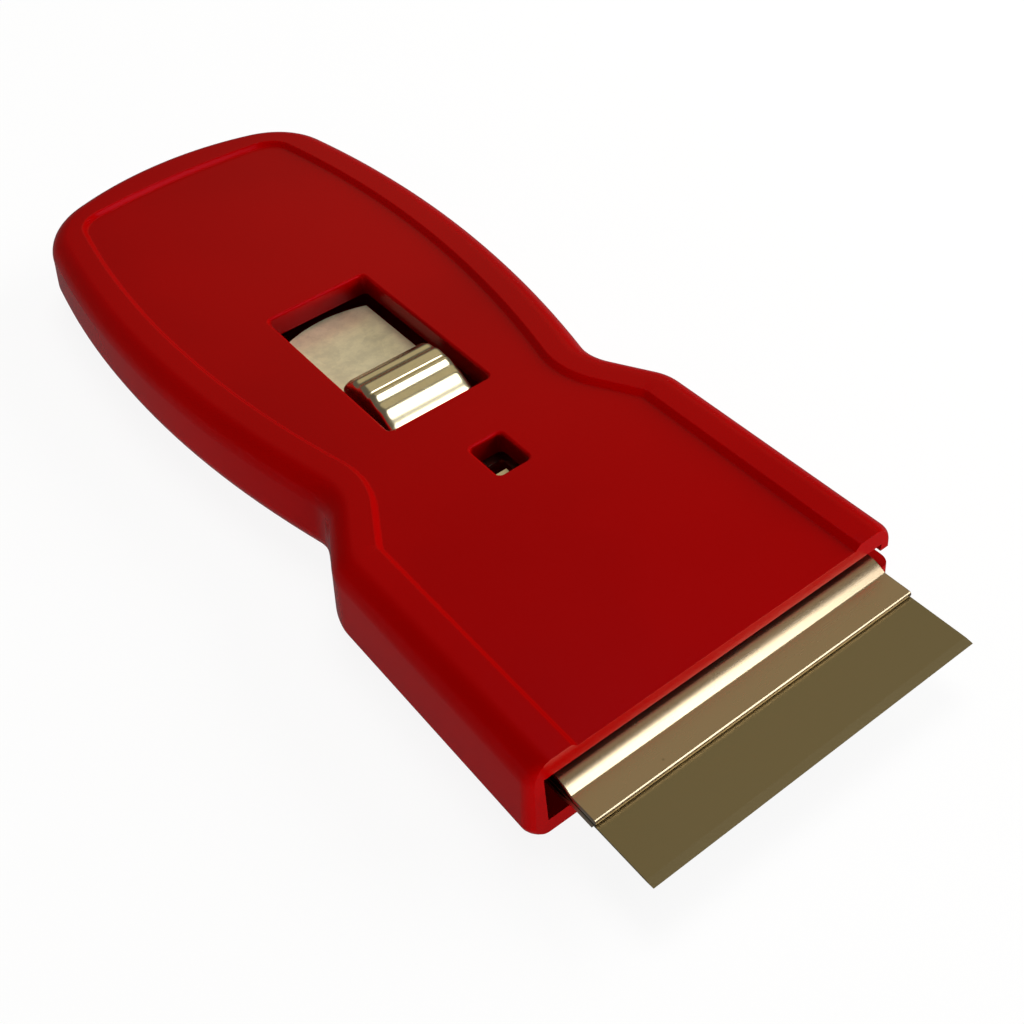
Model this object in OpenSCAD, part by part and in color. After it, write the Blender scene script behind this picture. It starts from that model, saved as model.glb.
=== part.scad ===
// Razor blade scraper: a moulded handle with a sliding blade carriage
// The blade points to -Y, the handle's end to +Y, and the part lies on its flat underside

/* [Blade] */
// Width of the single-edge blade
blade_width = 38.1; // [30:0.1:50]
// Depth of the blade from its edge to the rear of its folded back
blade_depth = 19; // [17:0.1:24]
// Thickness of the blade
blade_thickness = 0.23; // [0.15:0.01:0.4]
// Width of the ground bevel along the edge
bevel_width = 0.9; // [0.3:0.1:2]
// Depth of the folded back
back_depth = 5; // [3:0.1:6]
// Sheet thickness of the folded back
back_sheet = 0.5; // [0.3:0.05:0.6]

/* [Carriage] */
// How far the edge stands out of the mouth
blade_reach = 12.3; // [11:0.1:13]
// How much of the blade shows in front of the clamp plate
blade_show = 7.2; // [5:0.1:9]
// Length of the flat jaw of the clamp plate
jaw_length = 3.35; // [2.5:0.05:4.5]
// Length of each slanted step in the two plates
ramp_run = 1.35; // [1:0.05:1.8]
// Sheet thickness of the bed
bed_sheet = 0.6; // [0.4:0.05:0.8]
// Sheet thickness of the clamp plate
clamp_sheet = 0.6; // [0.4:0.05:0.8]
// Inner radius of the bends in the two plates
bend_radius = 0.4; // [0.2:0.05:0.6]
// Inner radius of the wide bend at the top of the clamp plate's ramp
crown_radius = 2.4; // [0.6:0.1:3]
// How far the bed's front edge lies behind the clamp plate's
bed_setback = 0.6; // [0.2:0.1:1.2]
// Length of the rear land where the plates meet
land_length = 4.2; // [3.8:0.1:6]
// How far the edge goes behind the mouth when it is drawn in
retract_margin = 1.5; // [0.5:0.1:3]

/* [Thumb spring] */
// Sheet thickness of the spring
spring_sheet = 0.5; // [0.3:0.05:0.6]
// Width of the spring
spring_width = 11.4; // [9.2:0.1:12.4]
// Radius of the rounded tail
tail_radius = 14; // [8:0.5:20]
// Length of the drawn hump
hump_length = 11.3; // [10:0.1:12]
// Width of the drawn hump
hump_width = 11.2; // [8.8:0.1:11.2]
// How far the hump stands proud of the handle's panel
hump_proud = 0.5; // [0:0.05:1]
// Radius between the hump's top and its two ends, over which the ribs run out
hump_end_radius = 0.9; // [0.7:0.1:1.6]
// How far the hump's ends lean in towards the top
hump_end_draft = 0.15; // [0.05:0.05:0.5]
// Height of the ribs on the hump, from valley to ridge
rib_height = 0.4; // [0.1:0.02:0.5]
// Number of ribs over the hump's half turn
rib_count = 8; // [5:1:11]
// Turn of the ribs over the crest towards the rear
rib_turn = 8; // [0:1:20]
// How high the lock tongue's tip stands over the strip
tongue_height = 0.5; // [0.3:0.05:0.8]
// Width of the lock tongue
tongue_width = 1.6; // [1.2:0.1:2.4]

/* [Rivets] */
// Diameter of a rivet's shank
rivet_diameter = 1.8; // [1.2:0.1:2.2]
// Diameter of a rivet's head
rivet_head_diameter = 3; // [2.4:0.1:3.4]
// Height of a rivet's head
rivet_head_height = 0.6; // [0.3:0.05:0.7]
// Distance between the two clamp rivets
clamp_rivet_pitch = 25; // [20:0.5:28]
// Distance between the two spring rivets
spring_rivet_pitch = 5.2; // [4.4:0.1:6]

/* [Handle outline] */
// Thickness of the head's side walls at their foot
side_wall = 2.15; // [1.6:0.05:3]
// Width of the waist
waist_width = 36.9; // [34:0.1:40]
// Width of the handle at its widest place
belly_width = 45.9; // [43:0.1:50]
// Distance from the head's chamber to the middle of the waist
waist_offset = 13.4; // [12:0.1:16]
// Distance from the widest place to the rear end
belly_to_end = 36.1; // [32:0.1:42]
// Slant of the shoulders between the head and the waist, in degrees
shoulder_angle = 28; // [24:1:34]
// Radius of the shoulders
shoulder_radius = 7; // [6.5:0.1:9]
// Radius of the waist
waist_radius = 5.5; // [4:0.1:8]
// Radius of the handle's long sides
side_radius = 153.5; // [130:0.5:200]
// Radius of the two rear corners
corner_radius = 11.4; // [9:0.1:13]
// Radius of the rear end
end_radius = 39; // [34:0.5:50]
// Radius of the round upright edges at the mouth
mouth_radius = 1.4; // [0.4:0.1:1.6]
// Radius on which the panel's two rear corners are drawn, before the inset
panel_corner_radius = 9.5; // [8.5:0.1:11]
// Radius on which the panel's rear edge is drawn, before the inset
panel_end_radius = 90; // [50:1:120]

/* [Handle section] */
// Thickness of the underside
floor_wall = 1.85; // [1.2:0.05:2.5]
// Height of the runners under the carriage
runner_height = 2.35; // [2.2:0.05:4]
// Width of a runner
runner_width = 1.6; // [1:0.1:2.5]
// Distance between the two runners
runner_pitch = 26; // [20:0.5:30]
// Thickness of the top over the head's chamber
top_wall = 1.6; // [1:0.05:2.5]
// Depth of the sunk panel below the rim
recess_depth = 0.6; // [0.3:0.05:1]
// Width of the rim along the sides
rim_width = 4.7; // [4:0.1:5.2]
// Added width of the rim at the rear end
rim_rear_extra = 1.3; // [0:0.1:4]
// Width of the soft step between the rim and the panel
step_width = 0.8; // [0.4:0.1:1.2]
// Radius of the upper outer edge
top_radius = 2.7; // [1.5:0.1:3.2]
// Radius of the lower outer edge of the head
foot_radius = 1.8; // [0.8:0.1:2.4]
// Radius of the lower outer edge of the grip
grip_foot_radius = 4; // [2:0.1:4.5]
// How far the side walls lean in from the foot to the rim
wall_draft = 0.5; // [0.2:0.05:0.8]
// Width of the thumb window
window_width = 13.4; // [12.4:0.1:16]
// Free length in front of the hump
hump_front_gap = 0.8; // [0.5:0.1:2]
// Length of the square hole
hole_length = 5.4; // [4:0.1:7]
// Width of the square hole
hole_width = 4.1; // [3.5:0.1:6]
// Distance from the head's chamber to the square hole
hole_offset = 3.6; // [2.5:0.1:5]
// Length of the bridge between the square hole and the window
bridge_length = 8; // [5:0.1:10]
// Radius of the corners of the window and the square hole
opening_radius = 0.6; // [0.2:0.05:1]
// Radius of the soft upper edge of the window and the square hole
soft_radius = 0.35; // [0.2:0.05:0.8]
// Width of the long channel for the spring
channel_width = 22; // [16:0.5:28]
// Radius of the inner corners of the chamber
chamber_radius = 2.5; // [1:0.1:4]

/* [Fits] */
// Side play between the blade and the head's inner walls
side_play = 1.3; // [0.6:0.05:1.8]
// Side play of the carriage's guide ears
ear_play = 0.25; // [0.15:0.05:0.4]
// Gap between the carriage and its runners
slide_gap = 0.1; // [0.05:0.05:0.2]
// Room round the folded back in the carriage
back_play = 0.1; // [0.05:0.05:0.2]
// Room over the folded back under the clamp plate
clamp_room = 0.37; // [0.2:0.01:0.6]
// Gap between the blade and the jaw
jaw_gap = 0.12; // [0.03:0.01:0.15]
// Room over the clamp plate in the head
head_room = 0.75; // [0.7:0.05:1.5]
// Gap between the spring and its seat, in which it rocks
spring_gap = 0.15; // [0.15:0.01:0.3]
// Gap between the lock tongue and the handle
lock_gap = 0.2; // [0.1:0.05:0.4]
// Clearance at the ends of the carriage's travel
travel_gap = 0.4; // [0.2:0.05:0.8]
// Room behind the carriage when it is drawn in
chamber_gap = 0.8; // [0.4:0.1:2]
// Room round the blade's back in the side notch
notch_play = 0.8; // [0.5:0.05:1]
// How far the opening round the lock tongue keeps inside the square hole
lance_margin = 0.5; // [0.3:0.05:0.8]

/* [Hidden] */

handle_red = "#9c0404";
plate_steel = "#a3946f";
blade_steel = "#7d7258";
spring_steel = "#c8bd93";
rivet_steel = "#b5ad98";

// Overrun of every cut
cut_over = 1;
// Roundness of true curves
round_fn = 48;

// Steps along the arcs of the outline
mouth_steps = 4;
shoulder_steps = 4;
waist_steps = 5;
side_steps = 12;
corner_steps = 8;
end_steps = 3;
// Steps of the rounded edges and of the panel's step
foot_steps = 4;
top_steps = 6;
step_steps = 5;
// Steps of a plate's bend
bend_steps = 4;
// Steps along and across the hump
hump_steps = 72;
hump_end_steps = 5;

// Heights of the carriage, from the underside up
runner_top = floor_wall + runner_height;
pocket_bottom = runner_top + slide_gap;
pocket_top = pocket_bottom + bed_sheet;
back_thickness = blade_thickness + 2 * back_sheet;
bed_top = pocket_top + back_sheet + back_play;
bed_bottom = bed_top - bed_sheet;
blade_middle = bed_top + blade_thickness / 2;
jaw_bottom = bed_top + blade_thickness + jaw_gap;
raised_bottom = blade_middle + back_thickness / 2 + clamp_room;
raised_top = raised_bottom + clamp_sheet;
spring_bottom = bed_top + spring_gap;
spring_top = spring_bottom + spring_sheet;

// Heights of the handle
chamber_ceiling = raised_top + head_room;
channel_ceiling = spring_top + tongue_height + lock_gap;
panel_top = chamber_ceiling + top_wall;
handle_height = panel_top + recess_depth;
hump_base = spring_top - spring_sheet / 2;
hump_height = panel_top + hump_proud - hump_base;

// Places along the part, from the mouth towards the rear end
jaw_front = blade_show - blade_reach;
jaw_bend = jaw_front + jaw_length;
back_end = blade_depth - blade_reach;
pocket_end = back_end + 2 * back_play;
land_front = pocket_end + ramp_run;
land_end = land_front + land_length;
rivet_line = land_front + land_length / 2;
travel = blade_reach + retract_margin;
chamber_depth = land_end + travel + chamber_gap;
hole_front = chamber_depth + hole_offset;
hole_middle = hole_front + hole_length / 2;
window_front = hole_front + hole_length + bridge_length;
hump_front = window_front + hump_front_gap;
hump_end = hump_front + hump_length;
window_end = hump_end + travel + travel_gap;
tail_end = window_end - travel_gap / 2;
channel_end = tail_end + travel + chamber_radius;
notch_depth = back_end + notch_play;

// Half widths
blade_half = blade_width / 2;
chamber_half = blade_half + side_play;
head_half = chamber_half + side_wall;
ear_half = chamber_half - ear_play;

// Centres of the arcs of the outline
belly_half = belly_width / 2;
side_across = waist_width / 2 + waist_radius - belly_half + side_radius;
waist_centre = [waist_width / 2 + waist_radius, chamber_depth + waist_offset];
belly_at = waist_centre.y + sqrt(pow(side_radius + waist_radius, 2) - pow(side_across, 2));
side_centre = [belly_half - side_radius, belly_at];
handle_length = belly_at + belly_to_end;
shoulder_x = head_half - shoulder_radius;
shoulder_drop = waist_radius + shoulder_radius - (waist_centre.x - shoulder_x) * cos(shoulder_angle);
shoulder_centre = [shoulder_x, waist_centre.y - shoulder_drop / sin(shoulder_angle)];

// The frame's origin lies under the middle of the whole length
mouth_y = (blade_reach - handle_length) / 2;

// Points on an arc, without those before the given first one
function arc(centre, radius, from, to, steps, first = 0) =
    [for (i = [first:steps]) let (a = from + (to - from) * i / steps) centre + radius * [cos(a), sin(a)]];

// Direction from one point to another, in degrees
function heading(from, to) = atan2(to.y - from.y, to.x - from.x);

// The point that lies at two given distances from two points, on the left of the line between them
function meeting(a, b, from_a, from_b) =
    let (
        apart = norm(b - a),
        along = (from_a * from_a - from_b * from_b + apart * apart) / (2 * apart),
        across = sqrt(from_a * from_a - along * along),
        way = (b - a) / apart
    )
    a + along * way + across * [-way.y, way.x];

// Share of the mouth's round upright edges that lies in front of the mouth's plane and is cut off
mouth_cut_share = 0.1;

// How far the outline is drawn in before the mouth, running out to nothing on the rim
function mouth_in(inset) = mouth_radius * max(0, 1 - inset / (wall_draft + top_radius));

// Right half of the outline from in front of the mouth, moved inwards by inset and shortened by back
function half_outline(inset, back, corner, end) =
    let (
        end_centre = [0, handle_length - back - end],
        corner_centre = meeting(side_centre, end_centre, side_radius - corner, end - corner),
        side_from = heading(side_centre, waist_centre),
        side_to = heading(side_centre, corner_centre),
        end_from = heading(end_centre, corner_centre)
    )
    concat(
        [[head_half - inset - mouth_in(inset), -cut_over]],
        [for (i = [0:mouth_steps]) let (a = 90 * i / mouth_steps)
            [head_half - inset - mouth_in(inset) * (1 - sin(a)),
             mouth_radius * (1 - mouth_cut_share - cos(a))]],
        arc(shoulder_centre, shoulder_radius - inset, 0, shoulder_angle, shoulder_steps),
        arc(waist_centre, waist_radius + inset, 180 + shoulder_angle, 180 + side_from, waist_steps),
        arc(side_centre, side_radius - inset, side_from, side_to, side_steps, 1),
        arc(corner_centre, corner - inset, side_to, end_from, corner_steps, 1),
        arc(end_centre, end - inset, end_from, 90, end_steps, 1)
    );

// Whole outline from the front right corner round the rear to the front left corner
function outline(inset, back = 0, corner = corner_radius, end = end_radius) =
    let (
        right = half_outline(inset, back, corner, end),
        count = len(right)
    )
    concat(right, [for (i = [count - 2:-1:0]) [-right[i].x, right[i].y]]);

// Radius of the lower edge at a place along the part, growing from the shoulders to the waist
function foot_at(y) =
    let (share = min(max((y - shoulder_centre.y) / (waist_centre.y - shoulder_centre.y), 0), 1))
    foot_radius + (grip_foot_radius - foot_radius) * (1 - cos(180 * share)) / 2;

// One ring of the lower edge, at a turn from 0 on the underside to 90 on the wall
function foot_ring(turn) =
    let (
        edge = outline(0),
        inner = outline(grip_foot_radius)
    )
    [for (i = [0:len(edge) - 1])
        let (
            radius = foot_at(edge[i].y),
            p = edge[i] + (inner[i] - edge[i]) * (1 - sin(turn)) * radius / grip_foot_radius
        )
        [p.x, p.y, radius * (1 - cos(turn))]];

// One ring of the upper edge, at a turn from 0 on the wall to 90 on the rim
function top_ring(turn) =
    let (z = handle_height - top_radius * (1 - sin(turn)))
    [for (p = outline(wall_draft + top_radius * (1 - cos(turn)))) [p.x, p.y, z]];

// One ring of the soft step, at a share from 0 on the rim to 1 on the panel
function step_ring(share) =
    let (
        inset = wall_draft + rim_width + step_width * share,
        z = handle_height - recess_depth * (1 - cos(180 * share)) / 2
    )
    [for (p = outline(inset, rim_rear_extra, panel_corner_radius, panel_end_radius)) [p.x, p.y, z]];

// Outer form of the handle with its rounded edges, raised rim and sunk panel, cut square at the mouth
module handle_form() {
    rings = concat(
        [for (i = [0:foot_steps]) foot_ring(90 * i / foot_steps)],
        [for (i = [0:top_steps]) top_ring(90 * i / top_steps)],
        [for (i = [0:step_steps]) step_ring(i / step_steps)]
    );
    count = len(rings[0]);
    last = len(rings) - 1;
    side_faces = [
        for (j = [0:last - 1]) for (i = [0:count - 2])
            let (a = j * count + i, b = a + count)
            each [[a, b, b + 1], [a, b + 1, a + 1]]
    ];
    rear = (count - 1) / 2;
    underside = [for (i = [0:rear - 1]) [i, i + 1, count - 2 - i, count - 1 - i]];
    panel = [for (quad = underside) [for (k = [3:-1:0]) last * count + quad[k]]];
    front = concat(
        [for (j = [0:last]) j * count + count - 1],
        [for (j = [last:-1:0]) j * count]
    );
    difference() {
        polyhedron(points = [for (r = rings) each r], faces = concat(side_faces, underside, panel, [front]));
        translate([-belly_width, -2 * cut_over, -cut_over])
            cube([2 * belly_width, 2 * cut_over, handle_height + 2 * cut_over]);
    }
}

// Rectangle with round corners, from its front edge rearwards
module rounded_area(width, front, end, radius) {
    translate([-width / 2 + radius, front]) square([width - 2 * radius, end - front]);
    translate([-width / 2, front + radius]) square([width, end - front - 2 * radius]);
    for (x = [radius - width / 2, width / 2 - radius])
        for (y = [front + radius, end - radius])
            translate([x, y]) circle(radius, $fn = round_fn);
}

// Upright cut with round corners between two heights
module upright_cut(width, front, end, radius, bottom, top) {
    translate([0, 0, bottom]) linear_extrude(top - bottom) rounded_area(width, front, end, radius);
}

// Profile of an opening's soft upper edge, from the middle of a round corner outwards
module soft_profile() {
    reach = opening_radius + soft_radius;
    difference() {
        translate([0, panel_top - soft_radius]) square([reach, soft_radius + cut_over]);
        translate([reach, panel_top - soft_radius]) circle(soft_radius, $fn = round_fn);
    }
}

// Soft upper edge along a straight side of the given length, facing the given way
module soft_side(place, length, way) {
    translate(place) rotate([90, 0, way]) linear_extrude(length, center = true) soft_profile();
}

// Opening in the panel with round corners and a soft upper edge
module panel_opening(width, front, end) {
    across_half = width / 2 - opening_radius;
    along_half = (end - front) / 2 - opening_radius;
    upright_cut(width, front, end, opening_radius, spring_top, handle_height + cut_over);
    translate([0, (front + end) / 2, 0]) {
        for (x = [-across_half, across_half])
            for (y = [-along_half, along_half])
                translate([x, y, 0]) rotate_extrude($fn = round_fn) soft_profile();
        soft_side([across_half, 0, 0], 2 * along_half, 0);
        soft_side([-across_half, 0, 0], 2 * along_half, 180);
        soft_side([0, along_half, 0], 2 * across_half, 90);
        soft_side([0, -along_half, 0], 2 * across_half, 270);
    }
}

// Ribs on the floor of the head that carry the carriage
module runners() {
    for (side = [-1, 1])
        translate([side * runner_pitch / 2 - runner_width / 2, chamber_radius / 2, floor_wall - cut_over])
            cube([runner_width, chamber_depth, runner_height + cut_over]);
}

// Space for the carriage and its spring inside the handle
module inner_space() {
    open_front = -chamber_radius - cut_over;
    difference() {
        upright_cut(2 * chamber_half, open_front, chamber_depth, chamber_radius, floor_wall, chamber_ceiling);
        runners();
    }
    channel_front = chamber_depth - chamber_radius - cut_over;
    upright_cut(channel_width, channel_front, channel_end, chamber_radius, floor_wall, channel_ceiling);
}

// Notch in the right wall through which a worn blade slides out
module blade_notch() {
    height = back_thickness + 2 * notch_play;
    bottom = blade_middle - height / 2;
    translate([blade_half, -cut_over, bottom])
        cube([head_half, notch_depth + cut_over, height]);
}

module handle() {
    color(handle_red) placed() difference() {
        handle_form();
        inner_space();
        panel_opening(window_width, window_front, window_end);
        panel_opening(hole_width, hole_front, hole_front + hole_length);
        blade_notch();
    }
}

// Moves a piece from the mouth's plane to the frame's origin
module placed() {
    translate([0, mouth_y, 0]) children();
}

// Draws a profile of [place along Y, height] out to both sides
module across(width) {
    rotate([90, 0, 90]) linear_extrude(width, center = true) children();
}

function unit(v) = v / norm(v);

// Path with an arc of its own radius in place of each inner corner
function bent(path, radii) = [
    for (i = [0:len(path) - 1])
        if (i == 0 || i == len(path) - 1) path[i]
        else
            let (
                before = unit(path[i] - path[i - 1]),
                after = unit(path[i + 1] - path[i]),
                turn = atan2(before.x * after.y - before.y * after.x, before * after),
                radius = radii[i - 1],
                reach = radius * tan(abs(turn) / 2),
                start = path[i] - reach * before,
                normal = sign(turn) * [-before.y, before.x],
                centre = start + radius * normal,
                from = atan2(-normal.y, -normal.x)
            )
            each arc(centre, radius, from, from + turn, bend_steps)
];

// Sheet of constant thickness over a path of [place along Y, height]
function sheet_profile(path, thickness) =
    let (
        last = len(path) - 1,
        ways = [for (i = [0:last - 1]) unit(path[i + 1] - path[i])],
        upper = [for (i = [0:last])
            let (
                before = ways[max(i - 1, 0)],
                after = ways[min(i, last - 1)],
                middle = unit(before + after)
            )
            path[i] + thickness / (middle * before) * [-middle.y, middle.x]]
    )
    concat(path, [for (i = [last:-1:0]) upper[i]]);

// Underside of the bed: jaw, step down to the pocket of the blade's back, step up to the land
bed_path = [
    [jaw_front + bed_setback, bed_bottom],
    [jaw_bend, bed_bottom],
    [jaw_bend + ramp_run, pocket_bottom],
    [pocket_end, pocket_bottom],
    [land_front, bed_bottom],
    [land_end, bed_bottom]
];
bed_radii = [for (i = [2:len(bed_path) - 1]) bend_radius + bed_sheet];

// Underside of the clamp plate: jaw, ramp over the blade's back, step down to the land
clamp_path = [
    [jaw_front, jaw_bottom],
    [jaw_bend, jaw_bottom],
    [jaw_bend + ramp_run, raised_bottom],
    [pocket_end, raised_bottom],
    [land_front, bed_top],
    [land_end, bed_top]
];
clamp_radii = [for (r = [bend_radius, crown_radius, bend_radius, bend_radius]) r + clamp_sheet];

// Holes for a pair of rivets
module rivet_holes(pitch, diameter) {
    for (side = [-1, 1])
        translate([side * pitch / 2, rivet_line, 0])
            cylinder(d = diameter, h = handle_height, $fn = round_fn);
}

// Land of the bed with its two guide ears, whose rear corners follow the chamber's
module ear_area() {
    ear_front = land_front + bed_sheet;
    intersection() {
        translate([-ear_half, ear_front]) square([2 * ear_half, land_end - ear_front]);
        rounded_area(2 * ear_half, jaw_front, land_end, chamber_radius - chamber_gap);
    }
}

module carrier_bed() {
    color(plate_steel) placed() difference() {
        union() {
            across(blade_width) polygon(sheet_profile(bent(bed_path, bed_radii), bed_sheet));
            translate([0, 0, bed_bottom]) linear_extrude(bed_sheet) ear_area();
        }
        rivet_holes(clamp_rivet_pitch, rivet_diameter);
        rivet_holes(spring_rivet_pitch, rivet_diameter);
    }
}

module clamp_plate() {
    color(plate_steel) placed() difference() {
        across(blade_width) polygon(sheet_profile(bent(clamp_path, clamp_radii), clamp_sheet));
        translate([-spring_width / 2 - side_play, pocket_end, 0])
            cube([spring_width + 2 * side_play, land_end, handle_height]);
        rivet_holes(clamp_rivet_pitch, rivet_diameter);
    }
}

module blade() {
    half = blade_thickness / 2;
    bevel_end = bevel_width - blade_reach;
    rear = back_end - back_sheet;
    color(blade_steel) placed() across(blade_width) translate([0, blade_middle])
        polygon([[-blade_reach, 0], [bevel_end, -half], [rear, -half], [rear, half], [bevel_end, half]]);
}

module blade_back() {
    radius = back_thickness / 2;
    front = back_end - back_depth;
    color(plate_steel) placed() across(blade_width) translate([0, blade_middle]) difference() {
        union() {
            translate([front, -radius]) square([back_depth - radius, back_thickness]);
            translate([back_end - radius, 0]) circle(radius, $fn = round_fn);
        }
        translate([front - cut_over, -blade_thickness / 2])
            square([back_depth - back_sheet + cut_over, blade_thickness]);
    }
}

// Domed rivet head that stands on the plane of its rim
module rivet_head() {
    rim = rivet_head_diameter / 2;
    dome_radius = (rim * rim + rivet_head_height * rivet_head_height) / (2 * rivet_head_height);
    intersection() {
        translate([0, 0, rivet_head_height - dome_radius]) sphere(dome_radius, $fn = round_fn);
        cylinder(r = rim, h = rivet_head_height, $fn = round_fn);
    }
}

// Pair of rivets through the sheets between two heights
module rivet_pair(pitch, bottom, top) {
    for (side = [-1, 1])
        translate([side * pitch / 2, rivet_line, 0]) {
            translate([0, 0, bottom]) cylinder(d = rivet_diameter, h = top - bottom, $fn = round_fn);
            translate([0, 0, top]) rivet_head();
            translate([0, 0, bottom]) mirror([0, 0, 1]) rivet_head();
        }
}

module clamp_rivets() {
    color(rivet_steel) placed() rivet_pair(clamp_rivet_pitch, bed_bottom, bed_top + clamp_sheet);
}

module spring_rivets() {
    color(rivet_steel) placed() rivet_pair(spring_rivet_pitch, bed_bottom, spring_top + spring_gap);
}

// Share of the hump's length in front of its crest
crest_share = 0.506;
// Roundness of the hump's front and rear flanks, as the power of a superellipse
front_power = 1.4;
rear_power = 2.5;
// How fast the ribs die away towards the hump's front and rear foot, as a power
front_fade = 2;
rear_fade = 6;
// Share of the hump's length that is drawn in at its two ends
plan_share = 0.12;

// One point of the hump: turn runs from 0 at the front foot over 90 at the crest to 180 at the rear
function hump_point(turn, x, end, ribs, shrink) =
    let (
        ahead = turn < 90,
        power = ahead ? front_power : rear_power,
        length = hump_length * (ahead ? crest_share : 1 - crest_share) - shrink,
        fade = pow(abs(sin(turn)), ahead ? front_fade : rear_fade) * ribs,
        rib = rib_height / 2 * cos(2 * rib_count * (turn - 90 - rib_turn)) * fade,
        height = (hump_height - rib_height / 2 - shrink + rib) * end,
        plan = 1 - plan_share * pow(1 - end, 2),
        along = sign(turn - 90) * pow(abs(cos(turn)), 2 / power) * length * plan
    )
    [x, hump_front + hump_length * crest_share + along, hump_base + height * pow(abs(sin(turn)), 2 / power)];

// Rows of the hump across its width, as [place, share of the full height, share of the full ribs]
function hump_rows(shrink) =
    let (
        foot = hump_width / 2,
        flat = foot - hump_end_draft - hump_end_radius,
        radius = hump_end_radius - shrink,
        drop = radius / (hump_height - shrink),
        right = concat(
            [for (i = [0:hump_end_steps]) let (a = 90 * i / hump_end_steps)
                [flat + radius * sin(a), 1 - drop * (1 - cos(a)), cos(a)]],
            [[foot - shrink, 0, 0]]
        )
    )
    concat([for (i = [len(right) - 1:-1:0]) [-right[i][0], right[i][1], right[i][2]]], right);

// One face of the drawn sheet as a grid of points
function hump_grid(shrink) = [
    for (row = hump_rows(shrink))
        [for (i = [0:hump_steps]) hump_point(180 * i / hump_steps, row[0], row[1], row[2], shrink)]
];

// Drawn hump of constant sheet thickness with a row of ribs
module hump_form() {
    outer = hump_grid(0);
    inner = hump_grid(spring_sheet);
    rows = len(outer);
    columns = hump_steps + 1;
    points = concat([for (r = outer) each r], [for (r = inner) each r]);
    inside = rows * columns;
    outer_faces = [
        for (j = [0:rows - 2]) for (i = [0:columns - 2])
            let (a = j * columns + i, b = a + columns)
            each [[a, a + 1, b + 1], [a, b + 1, b]]
    ];
    inner_faces = [for (f = outer_faces) [for (k = [2:-1:0]) f[k] + inside]];
    rim = concat(
        [for (i = [0:columns - 1]) i],
        [for (j = [1:rows - 1]) j * columns + columns - 1],
        [for (i = [columns - 2:-1:0]) (rows - 1) * columns + i],
        [for (j = [rows - 2:-1:1]) j * columns]
    );
    rim_faces = [
        for (k = [0:len(rim) - 1])
            let (a = rim[k], b = rim[(k + 1) % len(rim)])
            each [[a, a + inside, b + inside], [a, b + inside, b]]
    ];
    polyhedron(points = points, faces = concat(outer_faces, inner_faces, rim_faces));
}

// Flat outline of the spring from its root to its rounded tail
module spring_area() {
    root = land_front + bend_radius;
    arc_start = tail_end - tail_radius;
    intersection() {
        translate([-spring_width / 2, root]) square([spring_width, tail_end - root]);
        union() {
            translate([-spring_width / 2, root]) square([spring_width, arc_start - root]);
            translate([0, arc_start]) circle(tail_radius, $fn = round_fn);
        }
    }
}

// Share of the lanced opening's length that the lock tongue covers
tongue_share = 0.56;

// Opening in the strip under the square hole, out of which the lock tongue is bent
module lanced_opening() {
    size = [hole_width - 2 * lance_margin, hole_length - 2 * lance_margin, spring_sheet + 2 * cut_over];
    translate([-size.x / 2, hole_middle - size.y / 2, spring_bottom - cut_over]) cube(size);
}

// Tongue that rises rearwards from the front edge of its opening
module lock_tongue() {
    length = hole_length - 2 * lance_margin;
    root = hole_middle - length / 2;
    path = [
        [root - spring_sheet, spring_bottom],
        [root, spring_bottom],
        [root + length * tongue_share, spring_bottom + tongue_height]
    ];
    across(tongue_width) polygon(sheet_profile(path, spring_sheet));
}

module thumb_spring() {
    wall_middle = spring_sheet / 2;
    color(spring_steel) placed() {
        difference() {
            translate([0, 0, spring_bottom]) linear_extrude(spring_sheet) spring_area();
            lanced_opening();
            upright_cut(hump_width - spring_sheet, hump_front + wall_middle, hump_end - wall_middle,
                        hump_end_radius, spring_bottom - cut_over, spring_top + cut_over);
            rivet_holes(spring_rivet_pitch, rivet_diameter + 2 * spring_gap);
        }
        lock_tongue();
        hump_form();
    }
}

handle();
carrier_bed();
clamp_plate();
blade();
blade_back();
clamp_rivets();
thumb_spring();
spring_rivets();
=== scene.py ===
"""Razor blade scraper: a moulded red handle, a sheet-steel blade carriage and a ribbed thumb spring."""

import math

import bmesh
import bpy
from mathutils import Matrix, Vector


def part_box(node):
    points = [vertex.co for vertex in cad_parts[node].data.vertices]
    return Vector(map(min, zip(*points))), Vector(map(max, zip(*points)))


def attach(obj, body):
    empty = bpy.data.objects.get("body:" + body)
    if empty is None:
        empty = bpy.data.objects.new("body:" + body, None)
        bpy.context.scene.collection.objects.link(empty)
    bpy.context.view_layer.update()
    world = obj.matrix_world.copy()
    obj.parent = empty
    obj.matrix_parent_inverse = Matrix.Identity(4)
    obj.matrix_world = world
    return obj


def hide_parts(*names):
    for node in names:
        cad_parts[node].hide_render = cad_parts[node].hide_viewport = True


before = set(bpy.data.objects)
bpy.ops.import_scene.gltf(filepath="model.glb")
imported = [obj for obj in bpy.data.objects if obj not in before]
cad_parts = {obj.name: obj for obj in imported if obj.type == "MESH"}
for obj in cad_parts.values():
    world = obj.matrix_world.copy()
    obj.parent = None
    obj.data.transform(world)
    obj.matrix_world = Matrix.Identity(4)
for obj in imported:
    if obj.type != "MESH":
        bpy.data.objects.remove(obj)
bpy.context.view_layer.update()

bl_info = {
    "name": "Razor blade scraper",
    "version": (1, 0, 0),
    "blender": (4, 5, 0),
    "location": "View3D > Sidebar > Scraper",
    "description": "Builds the looks of a razor blade scraper around its packed frame",
    "category": "Object",
}

MM = 0.001
NEAR = 0.01 * MM
HANDLE_LOW, HANDLE_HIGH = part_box("handle")
BLADE_LOW, BLADE_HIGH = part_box("blade")
CLAMP_LOW, CLAMP_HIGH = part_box("clamp_plate")
SPRING_LOW, SPRING_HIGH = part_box("thumb_spring")
MOUTH = HANDLE_LOW.y


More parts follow.
